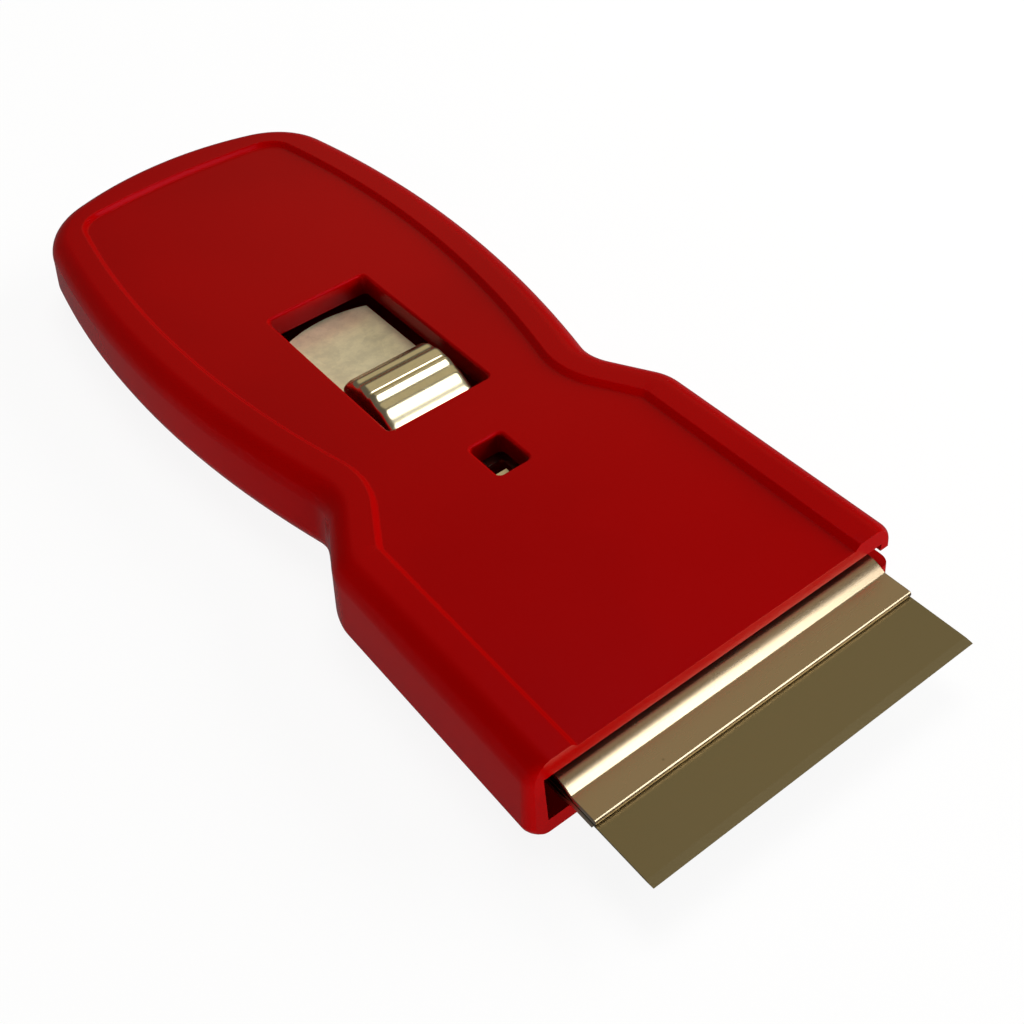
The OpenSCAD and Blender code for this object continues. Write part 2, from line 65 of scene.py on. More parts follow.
def length(name, description, millimetres):
    """A length property whose default is given in millimetres."""
    return bpy.props.FloatProperty(
        name=name, description=description, default=millimetres * MM, unit="LENGTH", precision=5
    )


def metres(name, description, value):
    """A length property whose default is taken from the frame."""
    return bpy.props.FloatProperty(
        name=name, description=description, default=value, unit="LENGTH", precision=5
    )


def angle(name, description, degrees):
    """An angle property whose default is given in degrees."""
    return bpy.props.FloatProperty(
        name=name, description=description, default=math.radians(degrees), subtype="ANGLE"
    )


def share(name, description, value):
    """A property between 0 and 1."""
    return bpy.props.FloatProperty(
        name=name, description=description, default=value, min=0, max=1, subtype="FACTOR"
    )


def power(name, description, watts):
    """A lamp's power."""
    return bpy.props.FloatProperty(name=name, description=description, default=watts, subtype="POWER")


def colour(name, description, value):
    """A linear colour property."""
    return bpy.props.FloatVectorProperty(
        name=name, description=description, default=value, size=3, min=0, max=1, subtype="COLOR"
    )


class HandleSizes(bpy.types.PropertyGroup):
    """Sizes of the moulded handle; places along it are counted from the mouth."""

    belly_width: metres("Belly width", "Width at the widest place", HANDLE_HIGH.x - HANDLE_LOW.x)
    height: metres("Height", "Height of the rim over the underside", HANDLE_HIGH.z)
    reach: metres("Length", "Length from the mouth to the rear end", HANDLE_HIGH.y - HANDLE_LOW.y)
    head_width: length("Head width", "Width of the head at its foot", 45)
    waist_width: length("Waist width", "Width of the waist", 36.9)
    waist_at: length("Waist place", "Middle of the waist", 40.45)
    belly_to_end: length("Belly to end", "Distance from the widest place to the rear end", 36.1)
    shoulder_slant: angle("Shoulder slant", "Slant of the shoulders towards the waist", 28)
    shoulder_radius: length("Shoulder radius", "Radius of the shoulders", 7)
    waist_radius: length("Waist radius", "Radius of the waist", 5.5)
    side_radius: length("Side radius", "Radius of the long sides", 153.5)
    corner_radius: length("Corner radius", "Radius of the rear corners", 11.4)
    end_radius: length("End radius", "Radius of the rear end", 39)
    top_radius: length("Top edge radius", "Radius of the upper outer edge", 2.7)
    foot_radius: length("Head foot radius", "Radius of the lower outer edge of the head", 1.8)
    grip_foot_radius: length("Grip foot radius", "Radius of the lower outer edge of the grip", 4)
    wall_draft: length("Wall draft", "How far the walls lean in", 0.5)
    rim_width: length("Rim width", "Width of the rim along the sides", 4.7)
    rim_rear_extra: length("Rear rim", "Added width of the rim at the rear end", 1.3)
    panel_corner_radius: length("Panel corners", "Radius of the panel's rear corners before the inset", 9.5)
    panel_end_radius: length("Panel end", "Radius of the panel's rear edge before the inset", 90)
    step_width: length("Step width", "Width of the soft step from the rim to the panel", 0.8)
    recess_depth: length("Recess depth", "Depth of the panel below the rim", 0.6)
    chamber_width: length("Chamber width", "Width of the space for the carriage", 40.7)
    chamber_depth: length("Chamber depth", "Depth of the space for the carriage", 27.05)
    chamber_radius: length("Chamber radius", "Radius of the chamber's rear corners", 2.5)
    chamber_ceiling: length("Chamber ceiling", "Height of the chamber's ceiling", 7.95)
    floor_wall: length("Floor wall", "Thickness of the underside", 1.85)
    channel_width: length("Channel width", "Width of the channel for the spring", 22)
    channel_end: length("Channel end", "Rear end of the channel for the spring", 86.45)
    channel_ceiling: length("Channel ceiling", "Height of the channel's ceiling", 6.85)
    runner_pitch: length("Runner pitch", "Distance between the two runners", 26)
    runner_width: length("Runner width", "Width of a runner", 1.6)
    runner_top: length("Runner top", "Height of the runners' tops", 4.2)
    window_width: length("Window width", "Width of the thumb window", 13.4)
    window_front: length("Window front", "Front edge of the thumb window", 44.05)
    window_end: length("Window end", "Rear edge of the thumb window", 70.35)
    hole_width: length("Hole width", "Width of the square hole", 4.1)
    hole_front: length("Hole front", "Front edge of the square hole", 30.65)
    hole_end: length("Hole end", "Rear edge of the square hole", 36.05)
    opening_radius: length("Opening corners", "Radius of the corners of window and hole", 0.6)
    soft_radius: length("Soft edge", "Radius of the upper edge of window and hole", 0.35)
    notch_depth: length("Notch depth", "Depth of the blade's notch in the right wall", 7.5)
    notch_height: length("Notch height", "Height of the blade's notch", 2.83)
    mouth_radius: length("Mouth radius", "Radius of the round upright edges at the mouth", 1.4)
    mouth_cut: share("Mouth cut", "Share of those edges that the mouth's plane cuts off", 0.1)
    mouth_edge: length("Mouth edge", "Radius of the softened edges round the mouth", 0.16)


class SpringSizes(bpy.types.PropertyGroup):
    """Sizes of the thumb spring; places along it are counted from the mouth."""

    sheet: length("Sheet", "Thickness of the spring's sheet", 0.5)
    top: length("Top", "Height of the flat strip's upper face", 6.15)
    width: metres("Width", "Width of the strip", SPRING_HIGH.x - SPRING_LOW.x)
    crest: metres("Crest", "Height of the hump's crest", SPRING_HIGH.z)
    tail_radius: length("Tail radius", "Radius of the rounded tail", 14)
    hump_front: length("Hump front", "Front foot of the hump", 44.85)
    hump_length: length("Hump length", "Length of the hump", 11.3)
    hump_width: length("Hump width", "Width of the hump", 11.2)
    hump_end_radius: length("Hump ends", "Radius of the hump's ends, over which the ribs run out", 0.9)
    hump_end_draft: length("Hump draft", "How far the hump's ends lean in towards the top", 0.15)
    crest_share: share("Crest share", "Share of the hump's length in front of its crest", 0.506)
    plan_share: share("Plan share", "Share of the length that is drawn in at the hump's ends", 0.12)
    rib_height: length("Rib height", "Height of the ribs from valley to ridge", 0.4)
    rib_count: bpy.props.IntProperty(
        name="Ribs", description="Number of ribs over the hump's half turn", default=8, min=3, max=11
    )
    rib_turn: angle("Rib turn", "How far the ribs are turned over the crest to the rear", 8)
    lance_width: length("Lance width", "Width of the opening round the lock tongue", 3.1)
    lance_front: length("Lance front", "Front edge of that opening, where the tongue is rooted", 31.15)
    lance_end: length("Lance end", "Rear edge of that opening", 35.55)
    tongue_width: length("Tongue width", "Width of the lock tongue", 1.6)
    tongue_share: share("Tongue share", "Share of the opening's length that the tongue covers", 0.56)
    tongue_height: length("Tongue height", "How high the tongue's tip stands over the strip", 0.5)
    rivet_pitch: length("Rivet pitch", "Distance between the spring's rivets", 5.2)
    rivet_line: length("Rivet line", "Place of the rivets", 10.35)
    rivet_hole: length("Rivet hole", "Diameter of the holes for the rivets", 2.1)


class PlateSizes(bpy.types.PropertyGroup):
    """Sizes of the clamp plate; places along it are counted from the mouth."""

    sheet: length("Sheet", "Thickness of the plate", 0.6)
    bend_radius: length("Bend radius", "Outer radius of the plate's bends", 1)
    crown_radius: length("Crown radius", "Radius of the wide bend at the top of the ramp", 3)
    jaw_length: length("Jaw length", "Length of the flat jaw on the blade", 3.35)
    ramp_run: length("Ramp run", "Length of each slanted step", 1.35)
    raised_end: length("Raised end", "Rear end of the raised flat", 6.9)
    jaw_bottom: length("Jaw bottom", "Height of the jaw's underside", 5.85)
    land_bottom: length("Land bottom", "Height of the land's underside", 5.5)
    gap_width: length("Spring gap", "Width of the gap for the spring in the land", 14)
    edge: length("Broken edge", "Width of the plate's broken edges", 0.07)
    lip_radius: length("Lip radius", "Radius of the jaw's lower front edge", 0.2)
    brow_radius: length("Brow radius", "Radius of the jaw's upper front edge", 0.32)
    rivet_pitch: length("Rivet pitch", "Distance between the plate's rivets", 25)
    rivet_line: length("Rivet line", "Place of the rivets", 10.35)
    rivet_hole: length("Rivet hole", "Diameter of the holes for the rivets", 1.8)


class Finishes(bpy.types.PropertyGroup):
    """Colours and gloss of the scraper's surfaces."""

    red: colour("Red", "Colour of the moulded handle", (0.275, 0.0, 0.0))
    red_deep: colour("Deep red", "Colour of the moulding's darker clouds", (0.25, 0.0, 0.0))
    red_gloss: colour("Red gloss", "Tint of the reflections seen straight on", (1.0, 0.18, 0.34))
    plastic_roughness: share("Plastic roughness", "Roughness of the moulding", 0.15)
    plastic_gloss: share("Plastic gloss", "Strength of the moulding's reflections", 0.12)
    plate: colour("Plate steel", "Colour of the plates", (0.60, 0.47, 0.31))
    blade: colour("Blade steel", "Colour of the blade", (0.39, 0.33, 0.19))
    spring: colour("Spring steel", "Colour of the thumb spring", (0.94, 0.86, 0.60))
    rivet: colour("Rivet steel", "Colour of the rivets", (0.66, 0.62, 0.52))
    pit: colour("Pits", "Colour of the pits and specks in the steel", (0.10, 0.08, 0.05))


class StageSettings(bpy.types.PropertyGroup):
    """Camera, lamps and floor."""

    lens: bpy.props.FloatProperty(
        name="Lens", description="Focal length in millimetres", default=47.18, subtype="DISTANCE_CAMERA"
    )
    azimuth: angle("Azimuth", "Turn of the camera round the part", -32.15)
    elevation: angle("Elevation", "Height of the camera over the horizon", 45.01)
    roll: angle("Roll", "Roll of the camera", -6.88)
    camera_place: bpy.props.FloatVectorProperty(
        name="Camera", description="Place of the camera", size=3, subtype="TRANSLATION",
        default=(-53.91 * MM, -104.4 * MM, 103.03 * MM),
    )
    floor_size: length("Floor", "Width of the floor", 6000)
    room: colour("Room", "Colour of the lit part of the room", (0.44, 0.38, 0.265))
    dark_room: colour("Dark room", "Colour of the rest of the room", (0.10, 0.09, 0.08))
    key_power: power("Key", "Power of the soft lamp on the right", 6.9)
    front_power: power("Front", "Power of the tall softbox in front, which shows in the metal alone", 2.4)
    low_power: power("Low", "Power of the low lamp in front", 7.0)
    left_power: power("Left", "Power of the low lamp on the left", 2.0)
    top_power: power("Top", "Power of the lamp overhead", 3.0)


# Modelling helpers


def start_piece(name, add, **settings):
    """Deselects everything, adds a primitive and returns its object in edit mode with all of it selected."""
    bpy.ops.object.select_all(action="DESELECT")
    add(enter_editmode=True, align="WORLD", **settings)
    piece = bpy.context.object
    piece.name = name
    piece.data.name = name
    return piece


def choose(piece):
    """Makes a piece the only selected object and the active one."""
    bpy.ops.object.select_all(action="DESELECT")
    piece.select_set(True)
    bpy.context.view_layer.objects.active = piece


def edit(piece):
    """Enters edit mode on one piece, with nothing selected."""
    choose(piece)
    bpy.ops.object.mode_set(mode="EDIT")
    bpy.ops.mesh.select_mode(type="VERT")
    bpy.ops.mesh.select_all(action="DESELECT")


def leave(piece):
    """Leaves edit mode and puts the object's place into its mesh."""
    bpy.ops.object.mode_set(mode="OBJECT")
    bpy.ops.object.transform_apply(location=True, rotation=True, scale=True)
    return piece


def pick(piece, kind, wanted):
    """Selects the edges or faces for which wanted is true and returns how many; none is an error."""
    edit(piece)
    bpy.ops.mesh.select_mode(type=kind)
    bm = bmesh.from_edit_mesh(piece.data)
    chosen = [part for part in (bm.edges if kind == "EDGE" else bm.faces) if wanted(part)]
    if not chosen:
        raise RuntimeError("nothing to pick on " + piece.name)
    for part in chosen:
        part.select_set(True)
    bmesh.update_edit_mesh(piece.data)
    return len(chosen)


def apply_modifier(piece, kind, **settings):
    """Adds a modifier with the given settings and applies it."""
    choose(piece)
    modifier = piece.modifiers.new(kind.title(), kind)
    for key, value in settings.items():
        setattr(modifier, key, value)
    bpy.ops.object.modifier_apply(modifier=modifier.name)


def block(name, low, high, corner=0.0, steps=8):
    """A box between two corners whose upright edges are rounded."""
    piece = start_piece(name, bpy.ops.mesh.primitive_cube_add, size=1)
    middle = (Vector(low) + Vector(high)) / 2
    size = Vector(high) - Vector(low)
    bpy.ops.transform.resize(value=size)
    bpy.ops.transform.translate(value=middle)
    leave(piece)
    if corner:
        pick(piece, "EDGE", lambda e: abs(e.verts[0].co.z - e.verts[1].co.z) > NEAR)
        bpy.ops.mesh.bevel(offset=corner, segments=steps, profile=0.5, affect="EDGES")
        leave(piece)
    return piece


def rod(name, centre, radius, height):
    """An upright round rod for a hole."""
    piece = start_piece(
        name, bpy.ops.mesh.primitive_cylinder_add, vertices=32, radius=radius, depth=height, location=centre
    )
    return leave(piece)


def carve(piece, tool, operation="DIFFERENCE"):
    """Cuts a tool out of a piece, or joins it to the piece, and removes the tool."""
    apply_modifier(piece, "BOOLEAN", operation=operation, object=tool, solver="EXACT")
    bpy.data.objects.remove(tool)


def finish_piece(piece, body, node, material, smooth_angle=math.radians(35)):
    """Smooths a piece, keeps its flats flat, and seats it on its body in place of a node."""
    choose(piece)
    bpy.ops.object.shade_smooth_by_angle(angle=smooth_angle)
    apply_modifier(piece, "WEIGHTED_NORMAL", mode="FACE_AREA", weight=50, keep_sharp=True)
    piece.data.materials.clear()
    piece.data.materials.append(material)
    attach(piece, body)
    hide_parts(node)


def dress_node(node, material):
    """Gives a node of the frame a better material."""
    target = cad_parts[node]
    target.data.materials.clear()
    target.data.materials.append(material)


# Shader helpers


class Wire:
    """One output of a finish's nodes; arithmetic on wires adds Math nodes."""

    def __init__(self, finish, socket):
        self.finish = finish
        self.socket = socket

    def math(self, operation, *values):
        """The result of a Math node fed with the given wires and numbers."""
        return self.finish.node("ShaderNodeMath", {"operation": operation}, dict(enumerate(values)))

    def __add__(self, other):
        return self.math("ADD", self, other)

    def __radd__(self, other):
        return self.math("ADD", other, self)

    def __sub__(self, other):
        return self.math("SUBTRACT", self, other)

    def __rsub__(self, other):
        return self.math("SUBTRACT", other, self)

    def __mul__(self, other):
        return self.math("MULTIPLY", self, other)

    def __rmul__(self, other):
        return self.math("MULTIPLY", other, self)

    def __gt__(self, other):
        return self.math("GREATER_THAN", self, other)

    def between(self, low, high):
        """This value as a soft step from 0 at low to 1 at high."""
        settings = {"interpolation_type": "SMOOTHSTEP"}
        sockets = {"Value": self, "From Min": low, "From Max": high}
        return self.finish.node("ShaderNodeMapRange", settings, sockets)


class Finish:
    """A material or world under construction: one method adds any node."""

    def __init__(self, owner):
        owner.use_nodes = True
        self.owner = owner
        self.tree = owner.node_tree

    def feed(self, socket, value):
        """Links a wire to a socket, or sets the socket's own value."""
        if isinstance(value, Wire):
            self.tree.links.new(value.socket, socket)
        else:
            socket.default_value = value

    def node(self, kind, settings=None, sockets=None, output=0):
        """Adds a node, makes its settings, feeds its sockets and returns one of its outputs."""
        made = self.tree.nodes.new(kind)
        for key, value in (settings or {}).items():
            setattr(made, key, value)
        for key, value in (sockets or {}).items():
            self.feed(made.inputs[key], value)
        return Wire(self, made.outputs[output])

    def place(self, stretch=(1, 1, 1), turn=(0, 0, 0)):
        """Object coordinates, stretched and turned."""
        origin = self.node("ShaderNodeTexCoord", output="Object")
        return self.node("ShaderNodeMapping", None, {"Vector": origin, "Scale": stretch, "Rotation": turn})

    def noise(self, scale, detail=2.0, roughness=0.5, place=None):
        """Noise of the given scale per metre."""
        sockets = {"Scale": scale, "Detail": detail, "Roughness": roughness, "Vector": place or self.place()}
        return self.node("ShaderNodeTexNoise", None, sockets)

    def cells(self, scale, place=None, output="Distance"):
        """A pattern of cells: the distance to their middles, or a colour for each."""
        sockets = {"Scale": scale, "Vector": place or self.place()}
        return self.node("ShaderNodeTexVoronoi", None, sockets, output)

    def mix(self, amount, first, second):
        """A colour between two colours."""
        return self.node("ShaderNodeMix", {"data_type": "RGBA"}, {0: amount, 6: first, 7: second}, 2)

    def bump(self, height, strength, distance):
        """A normal bent by a height."""
        sockets = {"Height": height, "Strength": strength, "Distance": distance}
        return self.node("ShaderNodeBump", None, sockets, "Normal")

    def surface(self, **sockets):
        """Feeds the Principled shader; underscores in the names stand for spaces."""
        shader = self.tree.nodes["Principled BSDF"]
        for key, value in sockets.items():
            self.feed(shader.inputs[key.replace("_", " ")], value)
        return self.owner


def rgba(values):
    """A colour with full alpha."""
    return (*values, 1.0)


def new_finish(name):
    """A new material under construction."""
    return Finish(bpy.data.materials.new(name))


# Fineness of the patterns, in waves or cells per metre
CLOUDS, MARKS, RIPPLES = 38, 300, 160
SMUDGES, BRUSHING, PITS, PIT_PATCHES = 90, 900, 260, 130
FACETS, MOTTLE, SCRATCHES = 330, 650, 1500


def red_plastic(finishes):
    """Glossy red moulding with a faint cloudiness and fine handling marks."""
    f = new_finish("red_plastic")
    clouds = f.noise(CLOUDS, 3)
    marks = f.noise(MARKS, 3, 0.5, f.place((1, 0.25, 1)))
    tone = f.mix(clouds.between(0.3, 0.7), rgba(finishes.red_deep), rgba(finishes.red))
    rough = finishes.plastic_roughness + 0.05 * clouds + 0.04 * marks
    relief = f.noise(RIPPLES, 2)
    return f.surface(
        Base_Color=tone, Roughness=rough, Normal=f.bump(relief, 0.02, 0.1 * MM),
        Specular_IOR_Level=finishes.plastic_gloss, Specular_Tint=rgba(finishes.red_gloss),
    )


def worn_steel(name, base, finishes, roughness, grain, specks):
    """Satin steel with rolling grain, faint smudges and small pits."""
    f = new_finish(name)
    smudge = f.noise(SMUDGES, 4, 0.6)
    brush = f.noise(BRUSHING, 3, 0.6, f.place(grain))
    pit_place = f.place()
    pits = 1 - f.cells(PITS, place=pit_place).between(0.03, 0.07)
    rare = f.noise(PIT_PATCHES, 1, place=pit_place) > specks
    shade = (0.86 + 0.2 * smudge) * (0.94 + 0.12 * brush)
    dark = tuple(0.72 * c for c in base)
    tone = f.mix(shade - 0.45, rgba(dark), rgba(base))
    tone = f.mix(pits * rare, tone, rgba(finishes.pit))
    rough = roughness + 0.12 * (smudge - 0.5) + 0.08 * (brush - 0.5)
    return f.surface(
        Base_Color=tone, Metallic=1.0, Roughness=rough, Normal=f.bump(brush, 0.05, 0.02 * MM)
    )


def spring_steel(finishes, hump_end):
    """Bright spring steel: polished on the hump, mottled and scratched on the flat behind it."""
    f = new_finish("spring_steel")
    along = f.node("ShaderNodeSeparateXYZ", None, {0: f.place()}, "Y")
    flat = along.between(hump_end - 0.2 * MM, hump_end + 0.3 * MM)
    facets = f.cells(FACETS, output="Color")
    facet = f.node("ShaderNodeSeparateColor", None, {0: facets}, 0)
    mottle = f.noise(MOTTLE, 4, 0.65)
    scratch = f.noise(SCRATCHES, 2, 0.5, f.place((1, 0.06, 1), (0, 0, math.radians(38))))
    lines = scratch.between(0.6, 0.68)
    worn = (mottle.between(0.35, 0.65) * 0.6 + 0.4 * facet) * (0.35 + 0.65 * flat)
    dark = tuple(0.78 * c for c in finishes.spring)
    tone = f.mix(worn, rgba(finishes.spring), rgba(dark))
    rough = 0.25 + 0.03 * mottle + flat * (0.03 * mottle + 0.04 * facet + 0.05 * lines)
    relief = (0.6 * facet + 0.5 * mottle) * flat
    return f.surface(
        Base_Color=tone, Metallic=1 - 0.4 * flat, Roughness=rough, Normal=f.bump(relief, 0.10, 0.02 * MM)
    )


# The handle


def arc_points(centre, radius, start, end, steps, first=0):
    """Points on an arc, without those before the first one."""
    turns = [start + (end - start) * i / steps for i in range(first, steps + 1)]
    return [centre + radius * Vector((math.cos(a), math.sin(a))) for a in turns]


def heading(start, end):
    """Direction from one point to another."""
    way = end - start
    return math.atan2(way.y, way.x)


def meeting(a, b, from_a, from_b):
    """The point at two given distances from two points, on the left of the line between them."""
    apart = (b - a).length
    along = (from_a**2 - from_b**2 + apart**2) / (2 * apart)
    off = math.sqrt(from_a**2 - along**2)
    way = (b - a) / apart
    return a + along * way + off * Vector((-way.y, way.x))


def mirrored(right):
    """A half outline that ends on the middle line, followed by its mirror image."""
    return right + [Vector((-p.x, p.y)) for p in reversed(right[:-1])]


class Outline:
    """The handle's outline: straight head, round shoulders, waist, long sides, rear corners and rear end."""

    OVERRUN = 2 * MM
    MOUTH_STEPS, SHOULDER_STEPS, WAIST_STEPS, SIDE_STEPS, CORNER_STEPS, END_STEPS = 10, 10, 12, 26, 20, 10

    def __init__(self, sizes):
        s = self.sizes = sizes
        self.head_half = s.head_width / 2
        self.waist = Vector((s.waist_width / 2 + s.waist_radius, s.waist_at))
        belly_half = s.belly_width / 2
        self.side = Vector((belly_half - s.side_radius, s.reach - s.belly_to_end))
        slant = s.shoulder_slant
        shoulder_x = self.head_half - s.shoulder_radius
        drop = s.waist_radius + s.shoulder_radius - (self.waist.x - shoulder_x) * math.cos(slant)
        self.shoulder = Vector((shoulder_x, self.waist.y - drop / math.sin(slant)))

    def mouth(self, inset):
        """Round upright edge at the mouth, which runs out to nothing on the rim."""
        s = self.sizes
        drawn_in = s.mouth_radius * max(0, 1 - inset / (s.wall_draft + s.top_radius))
        across = self.head_half - inset
        points = [Vector((across - drawn_in, -self.OVERRUN))]
        for i in range(self.MOUTH_STEPS + 1):
            turn = math.pi / 2 * i / self.MOUTH_STEPS
            along = s.mouth_radius * (1 - s.mouth_cut - math.cos(turn))
            points.append(Vector((across - drawn_in * (1 - math.sin(turn)), along)))
        return points

    def half(self, inset, back, corner_radius, end_radius):
        """Right half from in front of the mouth to the rear end, moved in by inset and shortened by back."""
        s = self.sizes
        end = Vector((0, s.reach - back - end_radius))
        corner = meeting(self.side, end, s.side_radius - corner_radius, end_radius - corner_radius)
        side_from = heading(self.side, self.waist)
        side_to = heading(self.side, corner)
        end_from = heading(end, corner)
        slant = s.shoulder_slant
        half_turn = math.pi
        return [
            *self.mouth(inset),
            *arc_points(self.shoulder, s.shoulder_radius - inset, 0, slant, self.SHOULDER_STEPS),
            *arc_points(
                self.waist, s.waist_radius + inset, half_turn + slant, half_turn + side_from, self.WAIST_STEPS
            ),
            *arc_points(self.side, s.side_radius - inset, side_from, side_to, self.SIDE_STEPS, 1),
            *arc_points(corner, corner_radius - inset, side_to, end_from, self.CORNER_STEPS, 1),
            *arc_points(end, end_radius - inset, end_from, half_turn / 2, self.END_STEPS, 1),
        ]

    def whole(self, inset):
        """Both halves, from the front right corner round the rear to the front left corner."""
        return mirrored(self.half(inset, 0.0, self.sizes.corner_radius, self.sizes.end_radius))

    def panel(self, inset):
        """Both halves of the sunk panel's outline, whose rear edge is flatter."""
        s = self.sizes
        return mirrored(self.half(inset, s.rim_rear_extra, s.panel_corner_radius, s.panel_end_radius))

    def foot_radius_at(self, y):
        """Radius of the lower edge, growing from the shoulders to the waist."""
        s = self.sizes
        t = min(max((y - self.shoulder.y) / (self.waist.y - self.shoulder.y), 0), 1)
        return s.foot_radius + (s.grip_foot_radius - s.foot_radius) * (1 - math.cos(math.pi * t)) / 2


def handle_rings(sizes, outline):
    """Rings of points from the underside over the foot, wall, rim and step to the panel."""
    foot_steps, top_steps, step_steps = 8, 12, 10
    edge = outline.whole(0)
    inner = outline.whole(sizes.grip_foot_radius)
    rings = []
    for i in range(foot_steps + 1):
        turn = math.pi / 2 * i / foot_steps
        ring = []
        for p, q in zip(edge, inner):
            radius = outline.foot_radius_at(p.y)
            at = p + (q - p) * (1 - math.sin(turn)) * radius / sizes.grip_foot_radius
            ring.append(Vector((at.x, at.y + MOUTH, radius * (1 - math.cos(turn)))))
        rings.append(ring)
    for i in range(top_steps + 1):
        turn = math.pi / 2 * i / top_steps
        inset = sizes.wall_draft + sizes.top_radius * (1 - math.cos(turn))
        height = sizes.height - sizes.top_radius * (1 - math.sin(turn))
        rings.append([Vector((p.x, p.y + MOUTH, height)) for p in outline.whole(inset)])
    for i in range(step_steps + 1):
        t = i / step_steps
        inset = sizes.wall_draft + sizes.rim_width + sizes.step_width * t
        height = sizes.height - sizes.recess_depth * (1 - math.cos(math.pi * t)) / 2
        rings.append([Vector((p.x, p.y + MOUTH, height)) for p in outline.panel(inset)])
    return rings


def loft(name, rings):
    """A closed body over rings of points: a circle is set on the first ring and extruded to the next ones."""
    piece = start_piece(
        name, bpy.ops.mesh.primitive_circle_add, vertices=len(rings[0]), radius=1, fill_type="NOTHING"
    )
    bm = bmesh.from_edit_mesh(piece.data)
    station = bm.verts.layers.int.new("station")
    bm.verts.ensure_lookup_table()
    for i, v in enumerate(bm.verts):
        v[station] = i
        v.co = rings[0][i]
    bmesh.update_edit_mesh(piece.data)
    bpy.ops.mesh.edge_face_add()
    bpy.ops.mesh.select_all(action="SELECT")
    for ring in rings[1:]:
        bpy.ops.mesh.extrude_edges_move()
        bm = bmesh.from_edit_mesh(piece.data)
        station = bm.verts.layers.int["station"]
        for v in bm.verts:
            if v.select:
                v.co = ring[v[station]]
        bmesh.update_edit_mesh(piece.data)
    bpy.ops.mesh.edge_face_add()
    bpy.ops.mesh.select_all(action="SELECT")
    bpy.ops.mesh.normals_make_consistent(inside=False)
    return leave(piece)


class SCRAPER_OT_handle(bpy.types.Operator):
    """Lofts the moulded handle, cuts its mouth, chamber, window, hole and notch, and softens their edges"""

    bl_idname = "scraper.handle"
    bl_label = "Handle"

    def execute(self, context):
        s = context.scene.scraper_handle
        outline = Outline(s)
        piece = loft("handle_shell", handle_rings(s, outline))
        self.cut_mouth(piece)
        self.hollow(piece, s)
        self.open_panel(piece, s)
        self.soften_mouth(piece, s)
        finish_piece(piece, "handle", "handle", red_plastic(context.scene.scraper_finishes))
        return {"FINISHED"}

    def cut_mouth(self, piece):
        """Cuts the body off flat in the plane of the mouth."""
        edit(piece)
        bpy.ops.mesh.select_all(action="SELECT")
        bpy.ops.mesh.bisect(
            plane_co=(0, MOUTH, 0), plane_no=(0, 1, 0), use_fill=True, clear_inner=True, threshold=0.1 * NEAR
        )
        leave(piece)

    def hollow(self, piece, s):
        """Cuts the chamber with its runners, the spring's channel and the blade's notch."""
        half = s.chamber_width / 2
        ahead = MOUTH - 2 * s.chamber_radius
        rear = MOUTH + s.chamber_depth
        chamber = block(
            "chamber", (-half, ahead, s.floor_wall), (half, rear, s.chamber_ceiling), s.chamber_radius
        )
        carve(piece, chamber)
        half = s.channel_width / 2
        channel = block(
            "channel",
            (-half, rear - 2 * s.chamber_radius, s.floor_wall),
            (half, MOUTH + s.channel_end, s.channel_ceiling),
            s.chamber_radius,
        )
        carve(piece, channel)
        for side in (-1, 1):
            middle = side * s.runner_pitch / 2
            runner = block(
                "runner",
                (middle - s.runner_width / 2, MOUTH + s.chamber_radius / 2, s.floor_wall / 2),
                (middle + s.runner_width / 2, rear + s.chamber_radius / 2, s.runner_top),
            )
            carve(piece, runner, "UNION")
        level = (BLADE_LOW.z + BLADE_HIGH.z) / 2
        notch = block(
            "notch",
            (BLADE_HIGH.x, MOUTH - s.chamber_radius, level - s.notch_height / 2),
            (s.head_width, MOUTH + s.notch_depth, level + s.notch_height / 2),
        )
        carve(piece, notch)

    def open_panel(self, piece, s):
        """Cuts the window and the square hole, and rounds their upper edges."""
        panel = s.height - s.recess_depth
        openings = (
            ("window", s.window_width / 2, s.window_front, s.window_end),
            ("hole", s.hole_width / 2, s.hole_front, s.hole_end),
        )
        for name, half, front, end in openings:
            low = Vector((-half, MOUTH + front, s.channel_ceiling - s.soft_radius))
            high = Vector((half, MOUTH + end, 2 * s.height))
            carve(piece, block(name, low, high, s.opening_radius, 6))

            def on_rim(e):
                return all(
                    abs(v.co.z - panel) < NEAR
                    and low.x - NEAR < v.co.x < high.x + NEAR
                    and low.y - NEAR < v.co.y < high.y + NEAR
                    for v in e.verts
                ) and any(abs(f.normal.z) < 0.5 for f in e.link_faces)

            pick(piece, "EDGE", on_rim)
            bpy.ops.mesh.bevel(offset=s.soft_radius, segments=6, profile=0.5, affect="EDGES")
            leave(piece)

    def soften_mouth(self, piece, s):
        """Breaks the edges round the mouth."""

        def on_mouth(e):
            return all(abs(v.co.y - MOUTH) < NEAR for v in e.verts) and any(
                abs(f.normal.y) < 0.7 for f in e.link_faces
            )

        pick(piece, "EDGE", on_mouth)
        bpy.ops.mesh.bevel(
            offset=s.mouth_edge, segments=3, profile=0.5, affect="EDGES", clamp_overlap=True
        )
        leave(piece)


# The thumb spring


